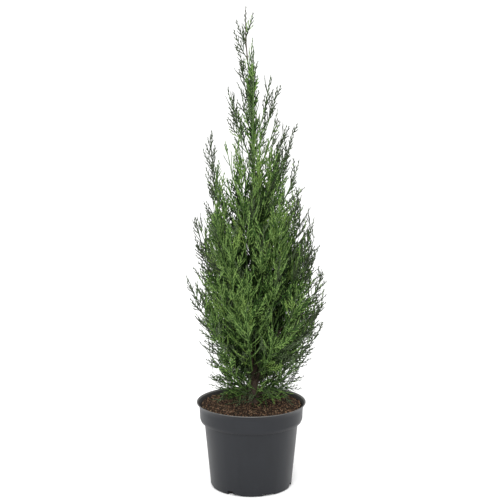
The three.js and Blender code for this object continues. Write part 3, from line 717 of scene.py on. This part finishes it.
centres = points[faces].mean(1)
centre_share = np.linalg.norm(centres - np.repeat(start, each, 0), axis=1)
centre_share /= np.repeat(np.linalg.norm(ends - start, axis=1), each)
green_part = (centre_share > GREEN_FROM) | (centres[:, 2] > GREEN_STEMS_FROM)
green_part &= centres[:, 2] < GREEN_STEMS_TO
stem_piece = joined("plume_stems", points, faces, [skin, green_skin], green_part)

# Foliage. Flat sprays of scale leaves stand round every plume stem, longest low down: each spray bears side
# shoots by turns left and right, and each side shoot bears twiglets, all covered in four rows of tiny scales.
GOLDEN_TURN = math.radians(GOLDEN_DEGREES)
TURN_STRAY = 0.3
SPRAYS_FROM = 0.05
SPRAYS_TO = 0.98
BARE_FOOT = 0.3
THIN_FROM = 0.84
SPRAY_LEAST = 18 * MM
SPRAY_GROWTH = 0.42
SPRAY_SHORTEST = 0.7
SPRAY_LONGEST = 1.12
SPRAY_TRIALS = (1, 0.85, 0.7, 0.55, 0.4, 0.28)
SPRAY_HEIGHTS = (200 * MM, 330 * MM, 600 * MM)
SPRAY_OUT = np.radians((48, 40, 28))
SPRAY_END = np.radians((24, 16, 11))
SPRAY_ROLL = math.radians(165)
SPRAY_LIFT = 0.12
TAPER_HEIGHTS = (430 * MM, 560 * MM)
TAPER_SHARES = (1, 0.8)
TOP_SHOOT = 70 * MM
TOP_MOST = 0.7
BEARER_LEAST = 12 * MM

# Leader and column have the same three numbers as a tier, and the leader's sprays are more alike
TRUNK_SPRAYS = {"leader": (0, 52, 12.5), "column": (0, 42, 3.5)}
LEADER_SPRAYS_TO = 0.64
LEADER_SHORTEST = 0.95
LEADER_ROLL = 0.3
COLUMN_CLOSE = 0.7

# Room past the crown's outline: some sprays stand out of it, most of all low down, and the rest keep within
ROOM_HEIGHTS = (380 * MM, 440 * MM)
ROOM_IN = (-14 * MM, -5 * MM)
ROOM_OUT = (8 * MM, 5 * MM)
ROOM_TOP = 11 * MM
ROOM_SIDES = 6 * MM
STANDS_LONGER = 1.3
FINGERS_BELOW = 390 * MM
LIP_ROOM = 9 * MM
GROUND_ROOM = 2 * MM
BARK_ROOM = 0.5 * MM

# Outline of the crown from lip to tip: height, then its reach to the left, to the right, and front or back
CROWN = np.array([
    (150, 72, 76, 82), (188, 72, 88, 88), (206, 66, 73, 94), (216, 72, 91, 97), (254, 83, 106, 108),
    (277, 85, 110, 117), (291, 91, 126, 121), (303, 92, 113, 121), (325, 98, 124, 122), (378, 115, 127, 122),
    (390, 86, 105, 120), (440, 94, 108, 110), (474, 101, 96, 103), (486, 83, 98, 100), (515, 76, 92, 92),
    (535, 80, 86, 88), (547, 84, 68, 87), (566, 87, 75, 86), (600, 80, 66, 82), (622, 77, 70, 80),
    (630, 38, 74, 80), (637, 38, 75, 78), (648, 40, 40, 74), (690, 44, 44, 56), (704, 28, 48, 50),
    (718, 32, 36, 38), (728, 34, 20, 32), (770, 40, 30, 30), (800, 36, 22, 24), (829, 15, 6, 6),
]) * MM

# Openings in the crown, seen from the front: centre across and up, half width and half height on the trunk's
# plane, and how far back they reach. Two are hollows in front of the trunk, and sky shows through the rest
OPENINGS = np.array([
    (8, 208, 7, 68, -8), (50, 293, 13, 30, -8), (-38, 562, 7, 22, 130), (63, 521, 4.5, 17, 130),
    (33, 624, 6, 17, 130), (-14, 594, 5, 15, 130), (-14, 528, 5, 15, 130), (-67, 494, 5, 11, 130),
    (106, 345, 6, 9, 130), (-85, 321, 4.5, 8, 130), (-85, 443, 6, 9, 130), (82, 443, 6, 9, 130),
    (-8, 448, 5, 11, 130), (-6, 420, 5, 10, 130), (-5, 390, 4, 8, 130), (62, 305, 4, 8, 130),
]) * MM
rng = np.random.default_rng(7)


def outline_share(points, room=0):
    """How far out in the crown points lie: 0 on its axis, 1 on its outline"""
    x, y, z = np.moveaxis(points, -1, 0)
    left, right, deep = (np.interp(z, CROWN[:, 0], reach) + room for reach in CROWN.T[1:])
    return np.hypot(x / np.where(x < 0, left, right), y / deep)


def inside_crown(points, room=0):
    """True for points that keep to the crown's outline and stay clear of the soil, the lip and the trunk"""
    x, y, z = np.moveaxis(points, -1, 0)
    within = outline_share(points, room) < 1
    ground = np.where(np.hypot(x, y) > RIM_RADIUS - LIP_ROOM, POT_HEIGHT, SOIL_CROWN) + GROUND_ROOM
    from_trunk = np.linalg.norm((points - trunk_at(z))[..., :2], axis=-1)
    bark_clear = (z > WOOD_TOP) | (from_trunk > trunk_radius(z) + BARK_ROOM)
    nearer = CAMERA_DISTANCE / (CAMERA_DISTANCE + y)
    seen_x, seen_z = x * nearer, CAMERA_HEIGHT + (z - CAMERA_HEIGHT) * nearer
    for across, up, half_width, half_height, back in OPENINGS:
        open_here = ((seen_x - across) / half_width) ** 2 + ((seen_z - up) / half_height) ** 2 < 1
        within &= ~(open_here & (y < back))
    return within & (z > ground) & (z < TIP_HEIGHT) & bark_clear


def bent(root, heading, away, length, out_angle, end_angle, lift):
    """Middle and end of shoots that leave a heading at one angle, bend back to another and turn up"""
    half = 0.5 * length[:, None]
    turned_out = heading * np.cos(out_angle) + away * np.sin(out_angle)
    turned_end = unit(heading * np.cos(end_angle) + away * np.sin(end_angle) + [0, 0, lift])
    return root + half * turned_out, root + half * (turned_out + turned_end)


def kept(shoots, keep):
    """The shoots that a mask or a row of numbers picks"""
    return Shoots(*(field[keep] for field in shoots))


def merged(*groups):
    """Groups of shoots as one"""
    return Shoots(*(np.concatenate(fields) for fields in zip(*groups)))


def numbered(count):
    """For counts of shoots on their parents: each shoot's parent, and its number on that parent"""
    parent = np.repeat(np.arange(len(count)), count)
    return parent, np.arange(count.sum()) - np.repeat(np.cumsum(count) - count, count)


class Branching(NamedTuple):
    """How shoots stand on their parents: spacing, first and last share of the parent that bears them, least
    length, its growth with the parent's and its limit, angles at root and end, and stray"""
    spacing: float
    first: float
    last: float
    least: float
    growth: float
    longest: float
    out_angle: float
    end_angle: float
    stray: float


ON_SPRAYS = Branching(4.4 * MM, 0.1, 0.92, 3.4 * MM, 0.42, 24 * MM, math.radians(34), math.radians(20), 0.12)
ON_TOPS = Branching(4.6 * MM, 0.08, 0.92, 3.2 * MM, 0.3, 18 * MM, math.radians(29), math.radians(16), 0.3)
ON_SIDES = Branching(4.2 * MM, 0.25, 0.85, 3.4 * MM, 0.25, 7.5 * MM, math.radians(31), math.radians(17), 0.12)
SIDE_STRAY = 0.3
SIDE_LENGTHS = (0.75, 1.2)
SIDE_LIFT = 0.3
SLENDER = 1.6


def side_shoots(parents, rule, rooms):
    """Shoots by turns on the left and right of their parents, shorter towards the parent's tip"""
    over = rule.last - rule.first
    parent, number = numbered(np.maximum(1, (parents.length * over / rule.spacing)).astype(int))
    counts = np.bincount(parent, minlength=len(parents.length))[parent]
    step = number + 0.5 + rng.uniform(-SIDE_STRAY, SIDE_STRAY, len(number))
    share = rule.first + over * step / counts
    own = kept(parents, parent)
    point, heading = along(own, share)
    across = square_to(heading, own.across)
    hand = np.where((number + own.spray) % 2, 1.0, -1.0)[:, None]
    away = unit(hand * across + rng.normal(0, rule.stray, (len(number), 1)) * np.cross(heading, across))
    length = np.minimum(rule.longest, rule.least + rule.growth * (1 - share) ** SLENDER * own.length)
    length *= rng.uniform(*SIDE_LENGTHS, len(number))
    middle, end = bent(point, heading, away, length, rule.out_angle, rule.end_angle, SIDE_LIFT)
    shoots = Shoots(point, middle, end, heading, length, own.spray)
    room = rooms[own.spray]
    return kept(shoots, inside_crown(end, room) & inside_crown(middle, room))


# Sprays turn round the stem by the golden angle. On the leader they stand left and right by turns, and every
# fourth in front or behind. A spray that would leave the crown is shortened or left out, and every third is
# left out near a plume's tip.
on_leader = np.array(plume_tiers) == "leader"
on_column = np.array(plume_tiers) == "column"
on_trunk = on_leader | on_column
first_share = SPRAYS_FROM + BARE_FOOT * bough_share
sprays_over = np.where(on_leader, LEADER_SPRAYS_TO, SPRAYS_TO) - first_share
longest, spacing = np.array([(TRUNK_SPRAYS | TIERS)[tier][1:3] for tier in plume_tiers]).T * MM
parent, number = numbered((sprays_over * spans / spacing).astype(int))
counts = np.bincount(parent)[parent]
share = first_share[parent] + sprays_over[parent] * (number + 0.5) / counts
own = kept(plumes, parent)
point, heading = along(own, share)
length = np.minimum(longest[parent], SPRAY_LEAST + SPRAY_GROWTH * (1 - share) * own.length)
length *= rng.uniform(np.where(on_leader[parent], LEADER_SHORTEST, SPRAY_SHORTEST), SPRAY_LONGEST)
turn = rng.uniform(0, math.tau, len(spans))[parent] + GOLDEN_TURN * number
to_the_sides = math.pi * (number + 0.5 + 0.5 * (number % 4 == 3))
turn = np.where(on_leader[parent], to_the_sides, turn) + rng.normal(0, TURN_STRAY, len(number))
right = unit(np.cross(heading, [1.0, 0.3, 0.0]))
away = right * np.cos(turn)[:, None] + np.cross(heading, right) * np.sin(turn)[:, None]
height = point[:, 2]
often = np.where(height < FINGERS_BELOW, 2, 3)
stands_out = (number % often == 1) & ~on_trunk[parent]
room_out, room_in = (np.interp(height, ROOM_HEIGHTS, rooms) for rooms in (ROOM_OUT, ROOM_IN))
room = np.where(stands_out, room_out, room_in)
room[on_trunk[parent]] = 0
length *= np.where(stands_out, STANDS_LONGER, 1)
tapering = np.isin(plume_tiers, ("main", "middle", "inner"))[parent]
length *= np.where(tapering, np.interp(height, TAPER_HEIGHTS, TAPER_SHARES), 1)
rolled = np.where(on_leader[parent], LEADER_ROLL, 1)
roll = (rng.uniform(-0.5, 0.5, len(number)) * rolled * SPRAY_ROLL)[:, None]
flat = away * np.cos(roll) + np.cross(heading, away) * np.sin(roll)
closer = np.where(on_column, COLUMN_CLOSE, 1)[parent]
out_angle = (closer * np.interp(height, SPRAY_HEIGHTS, SPRAY_OUT))[:, None]
end_angle = (closer * np.interp(height, SPRAY_HEIGHTS, SPRAY_END))[:, None]
size = np.zeros(len(number))
for trial in SPRAY_TRIALS:
    middle, end = bent(point, heading, away, trial * length, out_angle, end_angle, SPRAY_LIFT)
    fits = inside_crown(end, room) & inside_crown((middle + end) / 2, room)
    size = np.where((size == 0) & fits, trial, size)
middle, end = bent(point, heading, away, size * length, out_angle, end_angle, SPRAY_LIFT)
thinned = (share < THIN_FROM) | (number % 3 > 0) | on_leader[parent]
sprays = kept(Shoots(point, middle, end, flat, size * length, np.arange(len(number))), (size > 0) & thinned)

# The tip of every plume is a shoot too, straight on from the stem
spray_plume = np.append(parent, np.arange(len(spans)))
cut_at = 1 - np.minimum(TOP_SHOOT / spans, TOP_MOST)
top_root, _ = along(plumes, cut_at)
top_middle = elbow + (ends - elbow) * cut_at[:, None]
top_turn = np.where(on_leader, 0, rng.uniform(0, math.pi, len(spans)))[:, None]
top_heading = unit(ends - top_root)
top_across = plumes.across * np.cos(top_turn) + np.cross(top_heading, plumes.across) * np.sin(top_turn)
tops = Shoots(top_root, top_middle, ends, top_across, np.linalg.norm(ends - top_root, axis=1),
              len(number) + np.arange(len(spans)))
spray_room = np.append(room + ROOM_SIDES, np.full(len(spans), ROOM_TOP))
sides = side_shoots(sprays, ON_SPRAYS, spray_room)
top_sides = side_shoots(tops, ON_TOPS, spray_room)
bearers = merged(sides, top_sides)
bearers = kept(bearers, bearers.length > BEARER_LEAST)
twiglets = side_shoots(bearers, ON_SIDES, spray_room)

# Scale leaves: dull, slightly waxy, mottled from scale to scale, in the greens of one plant
LEAF_MM = 2.4
greens = []
for name, dark, pale in [
    ("scale_leaves_deep", "#081403", "#192c0c"),
    ("scale_leaves_mid", "#18300e", "#3c5a24"),
    ("scale_leaves_fresh", "#405e2a", "#829f58"),
    ("scale_leaves_yellow", "#425d26", "#809b50"),
    ("scale_leaves_grey", "#2d3b23", "#607250"),
    # painted shade: the darker grey of backlit tips at the outline
    ("scale_leaves_tip_painted_shade", "#212a1a", "#4b573f"),
]:
    material, shader = new_material(name, dark, 0.58, 1.45)
    shader.inputs["Specular IOR Level"].default_value = 0.18
    place = add(material, "ShaderNodeTexCoord", {}).outputs["Object"]
    mottle = add(material, "ShaderNodeTexNoise", {"Vector": place, "Scale": 1 / (LEAF_MM * MM), "Detail": 3})
    scales = add(material, "ShaderNodeMapRange",
                 {"Value": mottle.outputs["Fac"], "From Min": 0.36, "From Max": 0.64})
    leaf = add(material, "ShaderNodeMix",
               {0: scales.outputs["Result"], 6: linear(dark), 7: linear(pale)}, data_type="RGBA")
    wax = add(material, "ShaderNodeMapRange", {"Value": mottle.outputs["Fac"], "To Min": 0.5, "To Max": 0.66})
    join(material, leaf.outputs[2], "Base Color")
    join(material, wax.outputs["Result"], "Roughness")
    greens.append(material)

# A spray is deep green inside the crown and fresh at its outside: partly older leaves inside and young
# growth outside, partly painted shade deep in the crown. A few are yellower or greyer. Greyer tips are
# likelier towards the outline at the sides, towards the top, and on inner sprays high up: painted shade of
# backlit tips.
DEEP, MID, FRESH, YELLOW, GREY, SHADED_TIP = range(len(greens))
GREEN_LIMITS = (0.41, 0.59)
GREEN_STRAY = 0.08
FRESHER_HEIGHTS = (380 * MM, 560 * MM)
FRESHER_SHARES = (0, 0.25)
LIT_AND_FRESHER_ON_TRUNK = 0.34
YELLOW_ABOVE = 0.94
GREY_HEIGHTS = (200 * MM, 300 * MM)
GREY_SHARES = (0.26, 0.03)
GREY_OF_TIPS = 0.32
TIPS_SIDEWAYS = (0.5, 0.92)
TIPS_SIDE_SHARES = (0.06, 0.9)
TIPS_HEIGHTS = (600 * MM, 770 * MM)
TIPS_TOP_SHARES = (0, 0.9)
TIPS_INNER_HEIGHTS = (380 * MM, 480 * MM)
TIPS_INNER_SHARES = (0, 0.5)
EDGE_HEIGHTS = (300 * MM, 560 * MM, 720 * MM)
EDGE_SHARES = (0.9, 0.8, 0.3)
EDGE_STRAY = 0.16
STEP_SHARES = (0.36, 0.32, 0.32)
FROM_FRONT = (1, 0, 1)
count = len(number) + len(spans)
spray_middle = np.zeros((count, 3))
for shoots in (sprays, tops):
    spray_middle[shoots.spray] = (shoots.root + shoots.end) / 2
height = spray_middle[:, 2]
# Darker greens deeper in the crown: painted shade, with older leaves inside
outward = outline_share(spray_middle) + np.interp(height, FRESHER_HEIGHTS, FRESHER_SHARES)
# Sprays on the trunk are made fresher: painted light on the front of the column, and its young growth
outward += LIT_AND_FRESHER_ON_TRUNK * on_trunk[spray_plume]
spray_green = np.digitize(outward + rng.normal(0, GREEN_STRAY, count), GREEN_LIMITS)
odd = rng.uniform(0, 1, count)
spray_green = np.where(odd > YELLOW_ABOVE, YELLOW, spray_green)
spray_green = np.where(odd < np.interp(height, GREY_HEIGHTS, GREY_SHARES), GREY, spray_green)
# Painted shade: sprays further out to the sides and higher up take the tip grey more often, as backlit tips
tip_shade_chance = np.interp(outline_share(spray_middle * FROM_FRONT), TIPS_SIDEWAYS, TIPS_SIDE_SHARES)
tip_shade_chance += np.interp(height, TIPS_HEIGHTS, TIPS_TOP_SHARES)
on_inner = (np.array(plume_tiers) == "inner")[spray_plume]
tip_shade_chance += np.where(on_inner, np.interp(height, TIPS_INNER_HEIGHTS, TIPS_INNER_SHARES), 0)
draw = rng.uniform(0, 1, count)
spray_green = np.where((spray_green > DEEP) & (draw < GREY_OF_TIPS * tip_shade_chance), GREY, spray_green)
tip_green = np.where((spray_green > DEEP) & (draw < tip_shade_chance), SHADED_TIP, spray_green)


def dealt(shoots, green):
    """A green for each shoot: its spray's own or the next darker or lighter one, and at the outline painted
    shade
    """
    own = green[shoots.spray]
    step = rng.choice([-1, 0, 1], len(own), p=STEP_SHARES)
    own = np.where(own <= FRESH, np.clip(own + step, DEEP, FRESH), own)
    # Shoots past the edge share of the outline take the tip grey: painted shade of backlit tips
    edge = np.interp(shoots.end[:, 2], EDGE_HEIGHTS, EDGE_SHARES)
    edge += rng.uniform(-EDGE_STRAY, EDGE_STRAY, len(own))
    return np.where(outline_share(shoots.end * FROM_FRONT) > edge, SHADED_TIP, own)


# Scales show as a row of small barbs: each pair of leaves is widest at its tips, and every other pair faces
# the flat. A kind of shoot has its number of rings, its width and its greens
HALF_WIDTH = 1.2 * MM
SLIM_HEIGHTS = (165 * MM, 236 * MM)
SLIM_SHARES = (0.64, 1)
SHOOT_SIDES = 3
LAST_RING = 0.93
SHORT_RINGS = (0, 0.45)
BARB_WIDTHS = (1.0, 0.74)
BARB_DEPTHS = (0.5, 0.62)
ROOT_WIDTH = 0.6
ROOT_WIDENS = 1.1
TIP_SLIMS = 0.6
KINDS = [
    (sprays, 8, 1.15, dealt(sprays, spray_green)),
    (tops, 8, 1.2, dealt(tops, tip_green)),
    (sides, 4, 1.0, dealt(sides, spray_green)),
    (top_sides, 4, 1.0, dealt(top_sides, tip_green)),
    (twiglets, 2, 0.95, dealt(twiglets, tip_green)),
]

# Pieces take in whole plumes of one or a few tiers
GROUPS = {
    "foliage_top": (1, ("upper", "leader", "column", "crest")),
    "foliage_middle": (1, ("middle",)),
    "foliage_main": (3, ("main",)),
    "foliage_low": (3, ("low",)),
    "foliage_skirt": (1, ("skirt",)),
    "foliage_inner": (4, ("inner",)),
}
for group, (pieces, tiers) in GROUPS.items():
    for order, members in enumerate(np.array_split(np.flatnonzero(np.isin(plume_tiers, tiers)), pieces)):
        points, faces, kinds, before = [], [], [], 0
        for shoots, rings, width, green in KINDS:
            chosen = np.isin(spray_plume[shoots.spray], members)
            mine = kept(shoots, chosen)
            shares = np.linspace(0, LAST_RING, rings) if rings > 2 else np.array(SHORT_RINGS)
            taper = np.minimum(1, ROOT_WIDTH + ROOT_WIDENS * shares) * (1 - TIP_SLIMS * shares ** 2)
            barb = np.arange(rings) % 2
            slim = width * HALF_WIDTH * np.interp(mine.root[:, 2], SLIM_HEIGHTS, SLIM_SHARES)
            wide = np.outer(np.where(barb, *BARB_WIDTHS) * taper, slim)
            deep = np.outer(np.where(barb, *BARB_DEPTHS) * taper, slim)
            made, triangles, each = strands(mine, shares, SHOOT_SIDES, wide, deep)
            points.append(made)
            faces.append(triangles + before)
            kinds.append(np.repeat(green[chosen], each))
            before += len(made)
        name = group if pieces == 1 else f"{group}_{order + 1}"
        piece = joined(name, np.concatenate(points), np.concatenate(faces), greens, np.concatenate(kinds))
        names = []
        for plume in members:
            tier = plume_tiers[plume]
            row = plume - plume_tiers.index(tier) + 1
            names.append("leader_foliage" if tier == "leader" else f"{tier}_{row}_foliage")
        names = [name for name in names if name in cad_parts]
        if names:
            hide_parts(*names)

# Floor and light. A pale floor under a white sky, with one large soft lamp in front, above and to the left.
FLOOR_RADIUS = 8
ground = bmesh.new()
bmesh.ops.create_circle(ground, cap_ends=True, segments=96, radius=FLOOR_RADIUS)
floor = object_of("floor", ground)
paper, _ = new_material("matt_paper", "#fbfbfb", 0.9, 1.4)
floor.data.materials.append(paper)

world = bpy.data.worlds.new("studio")
world.use_nodes = True
world.node_tree.nodes["Background"].inputs["Color"].default_value = (1, 1, 1, 1)
world.node_tree.nodes["Background"].inputs["Strength"].default_value = 1.2
scene.world = world

LAMP_PLACE = Vector((-0.4, -2.9, 2.3))
LAMP_AIM = Vector((0, 0, 0.4))
lamp = bpy.data.objects.new("key_lamp", bpy.data.lights.new("key_lamp", "AREA"))
lamp.data.energy = 95
lamp.data.size = 1.6
lamp.location = LAMP_PLACE
lamp.rotation_euler = (LAMP_AIM - LAMP_PLACE).to_track_quat("-Z", "Y").to_euler()
scene.collection.objects.link(lamp)
